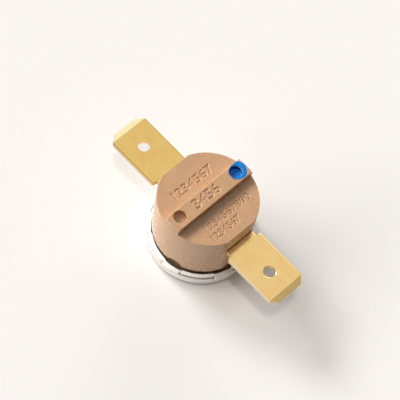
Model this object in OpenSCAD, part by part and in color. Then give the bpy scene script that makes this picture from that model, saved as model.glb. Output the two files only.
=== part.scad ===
// Disc temperature limiter: a moulded switch housing whose foot is crimped into a shallow metal cup,
// with a flat blade out of each side and the snap disc, pin and contacts inside.
// Millimetres. X runs along the blades, Y along the rib on top, and Z = 0 is the cup's flat bottom.

/* [Cup] */
// Outer diameter of the cup
cup_d = 16; // [15:0.1:20]
// Thickness of the cup's wall
cup_wall = 0.35; // [0.25:0.05:0.45]
// Radius of the cup's lower outside corner
cup_corner = 0.5; // [0.2:0.05:0.6]
// Height of the seat inside the cup, above its bottom
seat_z = 0.65; // [0.6:0.05:1]
// Width of the seat that the disc and the housing's foot rest on
seat_w = 1.4; // [1.2:0.1:2]
// How far the rim is folded in over the foot
lip_w = 0.55; // [0.5:0.05:0.8]
// Thickness of the folded rim
lip_t = 0.4; // [0.3:0.05:0.5]
// Number of staked places on the rim
crimp_n = 6; // [3:1:8]
// Angle that each staked place covers
crimp_span = 37; // [15:1:40]
// Direction of the first staked place, from +X
crimp_turn = -47.5; // [-90:0.5:90]
// How far the rim is pushed in at a staked place
crimp_in = 0.3; // [0.1:0.05:0.4]

/* [Disc and guide] */
// Thickness of the snap disc
disc_t = 0.2; // [0.1:0.05:0.25]
// Depth of the snap disc's dish
disc_dish = 0.2; // [0.1:0.02:0.25]
// Thickness of the guide plate
plate_t = 0.9; // [0.6:0.1:1.1]
// Diameter of the guide plate's boss
boss_d = 3.2; // [2.6:0.1:3.6]
// Height of the boss's top, above the cup's bottom
boss_top = 8; // [5:0.1:8.3]
// Diameter of the transfer pin
pin_d = 1.4; // [1:0.1:1.8]

/* [Housing] */
// Diameter of the housing's drum
body_d = 14.6; // [14:0.1:16]
// Distance across the two flats that the blades leave
body_flats = 13.7; // [13:0.1:13.9]
// Height of the top beside the rib, above the cup's bottom
body_top = 12.6; // [12:0.1:16]
// Height of the foot that the cup holds
foot_h = 1.4; // [1.3:0.1:1.8]
// Height of the neck between the foot and the drum
groove_h = 1.7; // [0.6:0.05:2.2]
// Chamfer round the top of the drum
drum_edge_cut = 0.1; // [0.05:0.01:0.2]
// Width of the rib across the top
rib_w = 2.8; // [2.4:0.1:3.6]
// Height of the rib above the top
rib_h = 1.15; // [0.9:0.05:1.5]
// Chamfer at the top of the rib's ends
rib_end_cut = 0.3; // [0.1:0.05:0.5]
// Chamfer along the rib's upper edges
rib_edge_cut = 0.12; // [0.05:0.01:0.3]
// Diameter of the two round recesses in the rib
recess_d = 1.9; // [1.2:0.1:2.1]
// Distance of each recess from the middle
recess_y = 5.35; // [3:0.05:5.5]
// How far the recesses lie off the rib's middle, towards -X
recess_off = 0.15; // [0:0.05:0.25]
// Depth of each recess
recess_deep = 0.95; // [0.4:0.05:1.2]
// Diameter of the contact chamber
chamber_d = 10.4; // [10.2:0.1:11]
// Thickness of the chamber's roof
roof_t = 1.2; // [1:0.1:1.4]
// Direction of the keying notch in the drum's lower edge, from +X
notch_turn = -76.5; // [-88:0.5:-66]
// Diameter of the keying notch's round outline
notch_w = 2.4; // [1.8:0.1:3]
// Height of the keying notch
notch_h = 0.85; // [0.4:0.05:0.9]
// Depth of the keying notch
notch_deep = 0.6; // [0.3:0.1:0.9]
// Gap between each blade's neck and the roof of its slot
slot_gap = 0.45; // [0.1:0.05:0.8]

/* [Blades] */
// Width of each blade
tab_w = 6.3; // [5.6:0.1:7]
// Thickness of each blade
tab_t = 0.8; // [0.5:0.1:1]
// Distance from the axis to each blade's tip
tab_reach = 17.2; // [15:0.1:22]
// Height of the blades' upper face, above the cup's bottom
tab_top = 9.5; // [9.3:0.05:9.6]
// Width of the neck that goes through the housing's wall
neck_w = 4.9; // [4.2:0.1:5.2]
// Distance from the housing's flat to the blade's shoulders
shoulder_gap = 0.85; // [0.3:0.05:1.5]
// Diameter of the hole in each blade
hole_d = 1.8; // [1:0.1:2.4]
// Distance from the blade's tip to its hole
hole_in = 4.2; // [3:0.1:6]
// Length of the cut at each corner of the tip
tip_cut = 1.05; // [0.5:0.05:1.6]
// Radius of the blade's shoulders
shoulder_r = 0.35; // [0.1:0.05:0.7]
// Length of the bevel on both faces of the tip
tip_bevel = 0.95; // [0.4:0.05:1.5]
// Thickness that the bevels leave at the tip
tip_edge = 0.3; // [0.2:0.05:0.4]
// Width of the blade's tongue inside the chamber
tongue_w = 3.6; // [3.2:0.1:4]

/* [Contacts] */
// Thickness of the spring arm
arm_t = 0.2; // [0.1:0.05:0.25]
// Width of the spring arm at its root
arm_w = 3; // [2.6:0.1:3.2]
// Width of the spring arm at its contact
arm_tip_w = 2.2; // [2.1:0.1:2.6]
// Diameter of the contact faces
contact_d = 1.8; // [1.4:0.1:2]
// Height of each contact's head
contact_h = 0.28; // [0.2:0.02:0.3]
// Distance of the contacts from the axis
contact_x = 3.2; // [3:0.1:3.4]
// Distance of the arm's rivet from the axis
rivet_x = 3.8; // [3.6:0.1:3.9]
// Diameter of the rivet's shank
rivet_d = 1.1; // [0.8:0.1:1.2]
// Diameter of the rivet's head
rivet_head_d = 1.8; // [1.5:0.1:2]

/* [Hidden] */
$fn = 96;

// Clearances
fit_gap = 0.05;
disc_gap = 0.1;
pin_play = 0.05;
pin_slack = 0.05;
disc_pre_travel = 0.1;
through = 1;

// Cup
cup_r = cup_d / 2;
cup_in_r = cup_r - cup_wall;
well_r = cup_in_r - seat_w;
foot_top = seat_z + foot_h;
cup_top = foot_top + lip_t;
lip_r = cup_r - lip_w;
lip_round = 0.3;
crimp_r = lip_r - crimp_in;
crimp_slope = 0.15;
crimp_join = 0.05;
mark_r = cup_r - 0.22;
mark_w = 0.16;
mark_deep = 0.16;
mark_end_d = 0.5;

// Disc, guide plate and pin
foot_r = cup_in_r - fit_gap;
disc_r = foot_r - 0.7;
disc_pocket_r = disc_r + disc_gap;
disc_room = disc_t + disc_gap;
disc_sphere_r = (disc_r * disc_r + disc_dish * disc_dish) / (2 * disc_dish);
disc_steps = 10;
disc_low = seat_z - disc_rise(well_r);
disc_centre_top = disc_low + disc_t;
plate_z = seat_z + disc_room;
plate_top = plate_z + plate_t;
plate_r = disc_r - 0.75;
plate_relief_r = plate_r - 0.75;
plate_relief = 0.2;
boss_fillet = 0.4;
pin_bottom = disc_centre_top + disc_pre_travel;

// Housing
body_r = body_d / 2;
flat_x = body_flats / 2;
neck_r = crimp_r - 0.25;
drum_z = foot_top + groove_h;
chamber_r = chamber_d / 2;
roof_z = body_top - roof_t;
rib_top = body_top + rib_h;
recess_r = recess_d / 2;
recess_x = -recess_off;
recess_floor = rib_top - recess_deep;
notch_low = notch_w / 2 - notch_h;

// Blades
tab_z = tab_top - tab_t;
shoulder_x = flat_x + shoulder_gap;
hole_x = tab_reach - hole_in;
key_x = (chamber_r + flat_x) / 2;
key_w = 0.5;
key_deep = 0.35;
tongue_start = sqrt(chamber_r * chamber_r - neck_w * neck_w / 4) - 0.2;
left_end = 2.4;
right_end = 1.8;

// Contacts, from the blade's upper face upwards
washer_t = 0.15;
washer_d = rivet_head_d + 0.4;
rivet_head_h = 0.35;
tail_h = 0.2;
shank_gap = 0.02;
contact_shank_d = 0.9;
contact_tail_d = 1.4;
contact_tail_h = 0.15;
contact_tail_low_h = 0.2;
contact_z = tab_top + contact_h;
arm_z = contact_z + contact_h;
arm_root_x = -rivet_x - 0.9;
arm_bend_x = -rivet_x + 1.2;
arm_rise_w = 0.8;
arm_end_x = contact_x + arm_tip_w / 2;
slot_l = 1.2;
slot_w = 1;

// Paint
coat = 0.05;
coat_floor = 0.12;
coat_r = 1.5;
coat_shift = 0.5;

// Square that is cut off outside a round corner, with the corner at the origin
module corner_waste(r) {
    difference() {
        translate([-r, -through]) square([r + through, r + through]);
        translate([-r, r]) circle(r);
    }
}

// Half section of the cup, without its staked places
module cup_section() {
    difference() {
        square([cup_r, cup_top]);
        translate([cup_r, 0]) corner_waste(cup_corner);
        translate([cup_r, cup_top]) mirror([0, 1]) corner_waste(lip_round);
        translate([-through, cup_wall]) square([through + well_r, cup_top]);
        translate([-through, seat_z]) square([through + cup_in_r, foot_h]);
        translate([-through, seat_z]) square([through + lip_r, cup_top]);
    }
}

// Part of the rim that is pushed in over the foot, as a half section
module crimp_section() {
    polygon([
        [crimp_r, foot_top],
        [lip_r + crimp_join, foot_top],
        [lip_r + crimp_join, cup_top],
        [lip_r, cup_top],
        [crimp_r, cup_top - crimp_slope]
    ]);
}

// Mark that the staking tool leaves behind the pushed-in part, as a half section
module mark_section() {
    polygon([
        [mark_r - mark_w / 2, cup_top + mark_deep],
        [mark_r - mark_w / 2, cup_top],
        [mark_r, cup_top - mark_deep],
        [mark_r + mark_w / 2, cup_top],
        [mark_r + mark_w / 2, cup_top + mark_deep]
    ]);
}

// Mark of one staked place: a curved groove that ends in a dimple at both ends
module staking_mark() {
    rotate_extrude(angle = crimp_span) mark_section();
    for (turn = [0, crimp_span])
        rotate(turn) translate([mark_r, 0, cup_top]) sphere(d = mark_end_d);
}

module at_crimps() {
    for (i = [0:crimp_n - 1])
        rotate(crimp_turn + i * 360 / crimp_n - crimp_span / 2) children();
}

module heat_cup() {
    color("gainsboro")
    difference() {
        union() {
            rotate_extrude() cup_section();
            at_crimps() rotate_extrude(angle = crimp_span) crimp_section();
        }
        at_crimps() staking_mark();
    }
}

// How far the disc has risen from its centre, at a distance from the axis
function disc_rise(r) = disc_sphere_r - sqrt(disc_sphere_r * disc_sphere_r - r * r);

module bimetal_disc() {
    radii = [for (i = [0:disc_steps]) disc_r * i / disc_steps];
    color("silver")
    rotate_extrude()
    polygon(concat(
        [for (r = radii) [r, disc_low + disc_rise(r)]],
        [for (i = [disc_steps:-1:0]) [radii[i], disc_low + disc_t + disc_rise(radii[i])]]
    ));
}

// Half section of the guide plate and its tall boss
module plate_section() {
    difference() {
        union() {
            translate([0, plate_z]) square([plate_r, plate_t]);
            translate([0, plate_top]) square([boss_d / 2, boss_top - plate_top]);
            translate([0, plate_top]) square([boss_d / 2 + boss_fillet, boss_fillet]);
        }
        translate([-through, plate_z - through]) square([through + plate_relief_r, through + plate_relief]);
        translate([-through, 0]) square([through + pin_d / 2 + pin_play, boss_top + through]);
        translate([boss_d / 2 + boss_fillet, plate_top + boss_fillet]) circle(boss_fillet);
    }
}

module guide_plate() {
    color("ivory")
    rotate_extrude() plate_section();
}

module transfer_pin() {
    color("white")
    translate([0, 0, pin_bottom]) cylinder(d = pin_d, h = arm_z - pin_slack - pin_bottom);
}

// Half section of the housing's outside, without its flats and rib
module housing_section() {
    polygon([
        [0, seat_z],
        [foot_r, seat_z],
        [foot_r, foot_top],
        [neck_r, foot_top],
        [neck_r, drum_z],
        [body_r, drum_z],
        [body_r, body_top - drum_edge_cut],
        [body_r - drum_edge_cut, body_top],
        [0, body_top]
    ]);
}

// Waste outside the drum's two flats
module flat_waste() {
    for (side = [-1, 1])
        translate([side * (flat_x + body_r / 2), 0, drum_z + body_top / 2])
            cube([body_r, 2 * body_d, body_top], center = true);
}

// Outline of the rib, seen along Y
module rib_front() {
    polygon([
        [-rib_w / 2, -through],
        [rib_w / 2, -through],
        [rib_w / 2, rib_h - rib_edge_cut],
        [rib_w / 2 - rib_edge_cut, rib_h],
        [-rib_w / 2 + rib_edge_cut, rib_h],
        [-rib_w / 2, rib_h - rib_edge_cut]
    ]);
}

// Half section of the disc that the rib is cut from, so that its ends are flush with the drum
module rib_section() {
    polygon([
        [0, -drum_edge_cut],
        [body_r, -drum_edge_cut],
        [body_r, rib_h - rib_end_cut],
        [body_r - rib_end_cut, rib_h],
        [0, rib_h]
    ]);
}

module rib() {
    translate([0, 0, body_top])
    intersection() {
        translate([0, body_d, 0]) rotate([90, 0, 0]) linear_extrude(2 * body_d) rib_front();
        rotate_extrude() rib_section();
    }
}

// Everything that is hollow under the housing's roof, as a half section
module hollow_section() {
    translate([-through, seat_z - through]) square([through + disc_pocket_r, through + disc_room]);
    translate([-through, plate_z - through]) square([through + plate_r + fit_gap, through + plate_t]);
    translate([-through, plate_z]) square([through + chamber_r, roof_z - plate_z]);
}

// Round notch in the drum's lower edge
module keying_notch() {
    rotate(notch_turn)
    translate([body_r - notch_deep, 0, drum_z])
    rotate([90, 0, 90])
    linear_extrude(notch_deep + through)
    intersection() {
        translate([0, -notch_low]) circle(d = notch_w);
        translate([-notch_w / 2, -fit_gap]) square(notch_w);
    }
}

module body_housing() {
    color([0.8, 0.63, 0.5])
    difference() {
        union() {
            rotate_extrude()
            difference() {
                housing_section();
                hollow_section();
            }
            rib();
        }
        flat_waste();
        for (side = [-1, 1])
            translate([0, 0, tab_z]) linear_extrude(tab_t + slot_gap) blade_outline(side, chamber_r / 2);
        for (side = [-1, 1])
            translate([recess_x, side * recess_y, recess_floor]) cylinder(r = recess_r, h = recess_deep + through);
        keying_notch();
    }
}

// Outline of a blade from above: side is -1 or 1, and inner is where its tongue ends
module blade_outline(side, inner) {
    mirror([side < 0 ? 1 : 0, 0, 0])
    difference() {
        union() {
            polygon([
                [shoulder_x + shoulder_r, -tab_w / 2],
                [tab_reach - tip_cut, -tab_w / 2],
                [tab_reach, -tab_w / 2 + tip_cut],
                [tab_reach, tab_w / 2 - tip_cut],
                [tab_reach - tip_cut, tab_w / 2],
                [shoulder_x + shoulder_r, tab_w / 2],
                [shoulder_x, tab_w / 2 - shoulder_r],
                [shoulder_x, -tab_w / 2 + shoulder_r]
            ]);
            for (edge = [-1, 1])
                translate([shoulder_x + shoulder_r, edge * (tab_w / 2 - shoulder_r)]) circle(shoulder_r);
            translate([tongue_start, -neck_w / 2]) square([shoulder_x - tongue_start + fit_gap, neck_w]);
            translate([inner, -tongue_w / 2]) square([tongue_start - inner + fit_gap, tongue_w]);
        }
        for (edge = [-1, 1])
            translate([key_x, edge * neck_w / 2]) square([key_w, 2 * key_deep], center = true);
    }
}

// Wedge of waste over one face of the tip
module tip_waste() {
    drop = (tab_t - tip_edge) / 2;
    rotate([90, 0, 0])
    linear_extrude(tab_w + 2 * through, center = true)
    polygon([[-tip_bevel, 0], [through, -drop * (1 + through / tip_bevel)], [through, through], [-tip_bevel, through]]);
}

// One blade; rivet_at and rivet_hole_d are the place and size of the hole in its tongue
module blade(side, inner, rivet_at, rivet_hole_d) {
    difference() {
        translate([0, 0, tab_z]) linear_extrude(tab_t) blade_outline(side, inner);
        translate([side * hole_x, 0, tab_z - through]) cylinder(d = hole_d, h = tab_t + 2 * through);
        translate([rivet_at, 0, tab_z - through]) cylinder(d = rivet_hole_d, h = tab_t + 2 * through);
        mirror([side < 0 ? 1 : 0, 0, 0]) {
            translate([tab_reach, 0, tab_top]) tip_waste();
            translate([tab_reach, 0, tab_z]) mirror([0, 0, 1]) tip_waste();
        }
    }
}

module terminal_left() {
    color("goldenrod")
    blade(-1, left_end, -rivet_x, rivet_d + 2 * shank_gap);
}

module terminal_right() {
    color("goldenrod")
    blade(1, right_end, contact_x, contact_shank_d + 2 * shank_gap);
}

module fixed_contact() {
    color("lightgray")
    translate([contact_x, 0, 0]) {
        translate([0, 0, tab_top]) cylinder(d = contact_d, h = contact_h);
        translate([0, 0, tab_z - contact_tail_low_h / 2])
            cylinder(d = contact_shank_d, h = tab_t + contact_tail_low_h / 2 + contact_h / 2);
        translate([0, 0, tab_z - contact_tail_low_h]) cylinder(d = contact_tail_d, h = contact_tail_low_h);
    }
}

// The arm's bent strip, seen along Y
module arm_side() {
    polygon([
        [arm_root_x, tab_top],
        [arm_bend_x, tab_top],
        [arm_bend_x + arm_rise_w, arm_z],
        [arm_end_x, arm_z],
        [arm_end_x, arm_z + arm_t],
        [arm_bend_x + arm_rise_w, arm_z + arm_t],
        [arm_bend_x, tab_top + arm_t],
        [arm_root_x, tab_top + arm_t]
    ]);
}

// The arm's outline, seen from above
module arm_plan() {
    difference() {
        union() {
            polygon([
                [arm_root_x, -arm_w / 2],
                [arm_bend_x, -arm_w / 2],
                [contact_x, -arm_tip_w / 2],
                [contact_x, arm_tip_w / 2],
                [arm_bend_x, arm_w / 2],
                [arm_root_x, arm_w / 2]
            ]);
            translate([contact_x, 0]) circle(d = arm_tip_w);
        }
        translate([-rivet_x, 0]) circle(d = rivet_d + 2 * shank_gap);
        translate([contact_x, 0]) circle(d = contact_shank_d + 2 * shank_gap);
        translate([arm_bend_x + arm_rise_w / 2, 0]) square([slot_l, slot_w], center = true);
    }
}

module spring_arm() {
    color("peru")
    intersection() {
        translate([0, arm_w, 0]) rotate([90, 0, 0]) linear_extrude(2 * arm_w) arm_side();
        linear_extrude(roof_z) arm_plan();
    }
}

module moving_contact() {
    color("lightgray")
    translate([contact_x, 0, 0]) {
        translate([0, 0, contact_z]) cylinder(d = contact_d, h = contact_h);
        translate([0, 0, contact_z + contact_h / 2])
            cylinder(d = contact_shank_d, h = contact_h / 2 + arm_t + contact_tail_h / 2);
        translate([0, 0, arm_z + arm_t]) cylinder(d = contact_tail_d, h = contact_tail_h);
    }
}

module arm_washer() {
    color("darkgray")
    translate([-rivet_x, 0, tab_top + arm_t])
    difference() {
        cylinder(d = washer_d, h = washer_t);
        translate([0, 0, -through]) cylinder(d = rivet_d + 2 * shank_gap, h = washer_t + 2 * through);
    }
}

module arm_rivet() {
    washer_top = tab_top + arm_t + washer_t;
    color("khaki")
    translate([-rivet_x, 0, 0]) {
        translate([0, 0, tab_z - tail_h]) cylinder(d = rivet_head_d, h = tail_h);
        translate([0, 0, tab_z - tail_h / 2]) cylinder(d = rivet_d, h = washer_top - tab_z + tail_h);
        translate([0, 0, washer_top]) cylinder(d = rivet_head_d, h = rivet_head_h);
    }
}

// Coat of paint inside one recess and over the end of the rib beside it
module blue_mark() {
    color("dodgerblue")
    difference() {
        union() {
            translate([recess_x, recess_y, recess_floor]) cylinder(r = recess_r, h = recess_deep + coat);
            translate([0, 0, rib_top])
            linear_extrude(coat)
            intersection() {
                translate([0, recess_y + coat_shift]) circle(coat_r);
                circle(body_r - rib_end_cut);
                square([rib_w - 2 * rib_edge_cut, body_d], center = true);
            }
        }
        translate([recess_x, recess_y, recess_floor + coat_floor])
            cylinder(r = recess_r - coat, h = recess_deep + through);
    }
}

heat_cup();
bimetal_disc();
guide_plate();
transfer_pin();
body_housing();
terminal_left();
terminal_right();
fixed_contact();
spring_arm();
moving_contact();
arm_washer();
arm_rivet();
blue_mark();
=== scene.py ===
import math

import bmesh
import bpy
from bpy.props import FloatProperty, FloatVectorProperty, IntProperty, PointerProperty, StringProperty
from mathutils import Matrix, Vector, noise


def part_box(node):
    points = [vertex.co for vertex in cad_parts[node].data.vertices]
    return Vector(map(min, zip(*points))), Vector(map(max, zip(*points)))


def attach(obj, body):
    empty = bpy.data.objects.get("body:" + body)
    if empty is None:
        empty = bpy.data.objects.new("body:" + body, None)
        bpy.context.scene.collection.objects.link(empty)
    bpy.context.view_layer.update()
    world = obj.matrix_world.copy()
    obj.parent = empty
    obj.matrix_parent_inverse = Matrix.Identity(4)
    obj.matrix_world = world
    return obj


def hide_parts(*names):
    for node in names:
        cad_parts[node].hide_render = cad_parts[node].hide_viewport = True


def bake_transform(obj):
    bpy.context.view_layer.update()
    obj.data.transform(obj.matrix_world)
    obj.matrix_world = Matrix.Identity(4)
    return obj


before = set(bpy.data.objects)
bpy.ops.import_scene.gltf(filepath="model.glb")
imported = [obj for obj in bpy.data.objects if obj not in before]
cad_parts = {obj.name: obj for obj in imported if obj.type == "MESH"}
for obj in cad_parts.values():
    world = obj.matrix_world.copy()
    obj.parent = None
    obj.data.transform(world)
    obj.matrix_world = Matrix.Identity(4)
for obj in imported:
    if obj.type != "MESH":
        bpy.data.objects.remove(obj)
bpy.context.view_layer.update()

bl_info = {
    "name": "Disc temperature limiter",
    "version": (1, 0, 0),
    "blender": (4, 5, 0),
    "location": "3D View > Sidebar > Limiter",
    "description": "Moulded switch housing in a staked metal cup, with two brass blades",
    "category": "Object",
}

MM = 0.001
UP = Vector((0, 0, 1))
ROUND_STEPS = 256  # Sides of a round block
CUP_STEPS = 512  # Sides of the cup, whose stakes need more
PAST = 1 * MM  # How far a block that joins or cuts another runs past its surface
SAME = 0.004 * MM  # Heights and radii closer than this count as the same
MERGED = 1e-7  # Points closer than this become one, in metres
MERGED_CAD = 1e-6  # The same for the meshes of the frame
HOUSING, ARM = "housing", "contact_arm"

# Places that the frame already fixes
CUP_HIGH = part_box("heat_cup")[1]
HOUSING_LOW, HOUSING_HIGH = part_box("body_housing")
PLATE_LOW, PLATE_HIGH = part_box("guide_plate")
DISC_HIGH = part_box("bimetal_disc")[1]
BLADE_LOW, BLADE_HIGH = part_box("terminal_right")
LEAF_LOW, LEAF_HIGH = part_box("spring_arm")

# Rows of numerals: setting, height, place across the rib and reach along it, in millimetres
NUMERAL_ROWS = (
    ("left", 1.4, -3.3, (-3.7, 3.9)),
    ("rib", 1.6, -0.1, (-2.8, 2.0)),
    ("right", 1.1, 3.35, (-3.7, 4.9)),
    ("outer", 1.1, 4.95, (-3.9, 1.5)),
)

# Soft lamps: name, azimuth from +X and height in degrees, apparent size in degrees, strength, colour
LAMPS = (
    ("key", 180, 36.5, 22, 2.06, (1.0, 1.0, 1.0)),
    ("side", 210, 37.3, 26, 1.11, (1.0, 1.0, 1.0)),
    ("low_front", 235, 18, 30, 1.12, (1.0, 0.985, 0.965)),
    ("low_back", 120, 18, 30, 1.05, (1.0, 0.985, 0.965)),
    ("overhead", 300, 79, 6, 0.56, (1.0, 0.93, 0.86)),
)

# How far a grain is drawn out along the object's axes: a small share makes long lines
EVEN = (1, 1, 1)
ALONG_X = (0.05, 1, 1)
ALONG_Z = (1, 1, 0.1)

# Sockets of a mix node that mixes colours
MIX_SHARE, MIX_FIRST, MIX_SECOND, MIX_COLOUR = 0, 6, 7, 2


def length(name, description, default):
    """A length of the limiter, in metres."""
    return FloatProperty(name=name, description=description, default=default, unit="LENGTH", precision=5)


def angle(name, description, degrees):
    """An angle, whose default is given in degrees."""
    return FloatProperty(name=name, description=description, default=math.radians(degrees), subtype="ANGLE")


def amount(name, description, default):
    """A plain number, such as a share or a strength."""
    return FloatProperty(name=name, description=description, default=default)


def tint(name, description, default):
    """A colour that a user may change."""
    return FloatVectorProperty(
        name=name, description=description, default=default, subtype="COLOR", size=3, min=0, max=1
    )


class LIMITER_PG_housing(bpy.types.PropertyGroup):
    """Sizes of the moulded housing."""
    drum_r: length("Drum radius", "Radius of the round drum", 7.3 * MM)
    flat_x: length("Flat", "Distance of each flat from the axis", 6.85 * MM)
    drum_low: length("Drum bottom", "Height of the drum's lower edge", 3.75 * MM)
    drum_high: length("Drum top", "Height of the top beside the rib", 12.6 * MM)
    neck_r: length("Neck radius", "Radius of the neck under the drum", 6.9 * MM)
    foot_high: length("Foot top", "Height of the foot that the rim holds", 2.05 * MM)
    rib_w: length("Rib width", "Width of the rib across the top", 2.8 * MM)
    rib_end: length("Rib end", "Rounding of the rib's upper ends", 0.3 * MM)
    edge: length("Edge", "Rounding of the moulded edges", 0.1 * MM)
    worn_edge: length("Worn edge", "Rounding of the rib's upper edge at -X", 0.2 * MM)
    recess_r: length("Recess radius", "Radius of the two round recesses", 0.95 * MM)
    recess_y: length("Recess place", "Distance of each recess from the middle", 5.35 * MM)
    recess_x: length("Recess offset", "How far the recesses lie off the rib's middle", -0.15 * MM)
    recess_deep: length("Recess depth", "Depth of each recess", 0.95 * MM)
    mouth: length("Recess mouth", "Rounding of the bare recess's mouth", 0.1 * MM)
    chamber_r: length("Chamber radius", "Radius of the contact chamber", 5.2 * MM)
    roof: length("Roof", "Thickness of the chamber's roof", 1.2 * MM)
    notch_w: length("Notch width", "Diameter of the keying notch's round outline", 2.4 * MM)
    notch_h: length("Notch height", "Height of the keying notch", 0.85 * MM)
    notch_deep: length("Notch depth", "Depth of the keying notch", 0.6 * MM)
    notch_turn: angle("Notch direction", "Direction of the keying notch from +X", -76.5)
    play: length("Play", "Gap between moulding and inserts", 0.04 * MM)
    slot_gap: length("Slot gap", "Gap between a blade's neck and the slot's roof", 0.45 * MM)


class LIMITER_PG_numerals(bpy.types.PropertyGroup):
    """The rows of sunk plain numerals on the top."""
    left: StringProperty(name="Left row", description="Numerals beside the rib, towards -X", default="1234567")
    rib: StringProperty(name="Rib row", description="Numerals on the rib", default="3456")
    right: StringProperty(name="Right row", description="Numerals beside the rib, towards +X", default="1234567890")
    outer: StringProperty(name="Outer row", description="Numerals near the flat at +X", default="1234567")
    sunk: amount("Depth", "Depth of the numerals, as a share of their height", 0.08)
    bolder: amount("Bolder", "How much wider the strokes are at the surface, as a share of their depth", 0.9)


class LIMITER_PG_cup(bpy.types.PropertyGroup):
    """Sizes of the drawn cup and its staked rim."""
    wall: length("Wall", "Thickness of the cup", 0.35 * MM)
    corner: length("Corner", "Radius of the lower outside corner", 1.15 * MM)
    shoulder: length("Shoulder", "Radius of the upper outside corner", 0.42 * MM)
    lip_r: length("Lip radius", "Radius of the lip's inner edge", 7.28 * MM)
    tilt: angle("Tilt", "How far the lip's top falls towards the outside", 27)
    lip_t: length("Lip thickness", "Thickness of the folded lip", 0.4 * MM)
    seat_w: length("Seat", "Width of the seat inside", 1.4 * MM)
    stakes: IntProperty(name="Stakes", description="Number of staked places on the rim", default=6, min=1)
    stake_span: angle("Stake span", "Angle that each staked place covers", 37)
    stake_turn: angle("Stake direction", "Direction of the first staked place from +X", -47.5)
    stake_in: length("Stake reach", "How far a stake pushes the lip inwards", 0.2 * MM)
    stake_down: length("Stake drop", "How far a stake bends the lip's edge down", 0.02 * MM)
    groove_r: length("Groove radius", "Radius of the tool's groove", 7.76 * MM)
    groove_w: length("Groove width", "Width of the tool's groove", 0.17 * MM)
    groove_deep: length("Groove depth", "Depth of the tool's groove", 0.16 * MM)
    dimple_w: length("Dimple width", "Width of the dimple at each end of a groove", 0.5 * MM)
    dimple_deep: length("Dimple depth", "Depth of the dimple at each end of a groove", 0.2 * MM)


class LIMITER_PG_paint(bpy.types.PropertyGroup):
    """Sizes of the coat of paint in one recess and on the rib's end."""
    coat: length("Coat", "Thickness of the coat", 0.045 * MM)
    floor: length("Pool", "Depth of the paint that pooled on the recess's floor", 0.12 * MM)
    sink: length("Sink", "How far the coat's underside lies in the housing", 0.03 * MM)
    edge_x: length("Side reach", "How far the coat reaches from the rib's middle", 1.34 * MM)
    reach: length("Reach", "Reach from the recess's axis towards the rib's middle", 1.06 * MM)
    spill: length("Spill", "How much further the coat reaches towards the rib's end", 0.56 * MM)
    drip: length("Drip", "How much further it reaches where it dripped", 0.16 * MM)


class LIMITER_PG_blades(bpy.types.PropertyGroup):
    """Sizes of the brass blades' edges."""
    edge: length("Edge", "Rounding that stamping leaves on the blades' edges", 0.04 * MM)
    roll: length("Rolled edge", "Rounding of the left blade's long upper edges", 0.12 * MM)


class LIMITER_PG_colours(bpy.types.PropertyGroup):
    """Colours of the limiter's materials."""
    phenolic: tint("Phenolic", "Moulded housing", (0.555, 0.318, 0.165))
    brass: tint("Brass", "Blades", (0.845, 0.603, 0.254))
    aluminium: tint("Aluminium", "Cup", (0.88, 0.84, 0.8))
    paint: tint("Paint", "Mark on the rib", (0.0, 0.17, 0.57))
    # The pool's brighter blue is painted light on the recess's floor.
    pool: tint("Paint pool", "Thick paint on the recess's floor", (0.0, 0.24, 0.85))
    steel: tint("Steel", "Snap disc and washer", (0.58, 0.57, 0.55))
    ceramic: tint("Ceramic", "Guide plate and pin", (0.86, 0.84, 0.78))
    bronze: tint("Bronze", "Spring leaf", (0.72, 0.42, 0.25))
    silver: tint("Silver", "Contacts", (0.86, 0.85, 0.82))
    floor: tint("Floor", "Plain floor", (0.95, 0.923, 0.9))


class LIMITER_PG_stage(bpy.types.PropertyGroup):
    """Camera, floor and lights."""
    aim: FloatVectorProperty(
        name="Aim", description="Point that the camera looks at", size=3, subtype="TRANSLATION",
        default=(0, 0, 8 * MM), precision=5,
    )
    turn: angle("Azimuth", "Camera's azimuth from -Y", 34.591)
    height: angle("Elevation", "Camera's height above the horizon", 63.892)
    roll: angle("Roll", "Camera's roll", -13.297)
    distance: length("Distance", "Distance of the camera from its aim", 255.695 * MM)
    lens: amount("Lens", "Focal length in millimetres", 161.573)
    shift: FloatVectorProperty(
        name="Shift", description="Shift of the picture, as a share of its width", size=2, default=(-0.0122, 0.0312)
    )
    floor_size: length("Floor size", "Side of the square floor", 1500 * MM)
    level: amount("Light", "Strength of all lamps together", 1.0)
    fill: amount("Fill", "Strength of the light from all round", 0.01)
    own_white: amount("Own white", "Share of the floor's white that no shadow falls on", 0.18)
    mirrored: FloatVectorProperty(
        name="Mirrored", description="Strength of the mirrored surroundings at -X and at +X", size=2,
        default=(1.0, 0.34),
    )
    glare: amount("Glare", "How much brighter the mirrored surroundings are far out at -X", 0.5)


class LIMITER_PG_settings(bpy.types.PropertyGroup):
    """All settings of the limiter."""
    housing: PointerProperty(type=LIMITER_PG_housing)
    numerals: PointerProperty(type=LIMITER_PG_numerals)
    cup: PointerProperty(type=LIMITER_PG_cup)
    paint: PointerProperty(type=LIMITER_PG_paint)
    blades: PointerProperty(type=LIMITER_PG_blades)
    colours: PointerProperty(type=LIMITER_PG_colours)
    stage: PointerProperty(type=LIMITER_PG_stage)


def settings():
    """The limiter's settings in the scene."""
    return bpy.context.scene.limiter


# Mesh tools

def all_of(bm):
    """Everything in a mesh, as the cutting operators want it."""
    return [*bm.verts, *bm.edges, *bm.faces]


def tidy(bm):
    """Merges doubled points and makes the faces point outwards."""
    bmesh.ops.remove_doubles(bm, verts=bm.verts, dist=MERGED)
    bmesh.ops.dissolve_degenerate(bm, edges=bm.edges, dist=MERGED / 10)
    bmesh.ops.recalc_face_normals(bm, faces=bm.faces)
    return bm


def moved(bm, way):
    """Moves a whole mesh."""
    bmesh.ops.translate(bm, verts=bm.verts, vec=way)
    return bm


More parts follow.
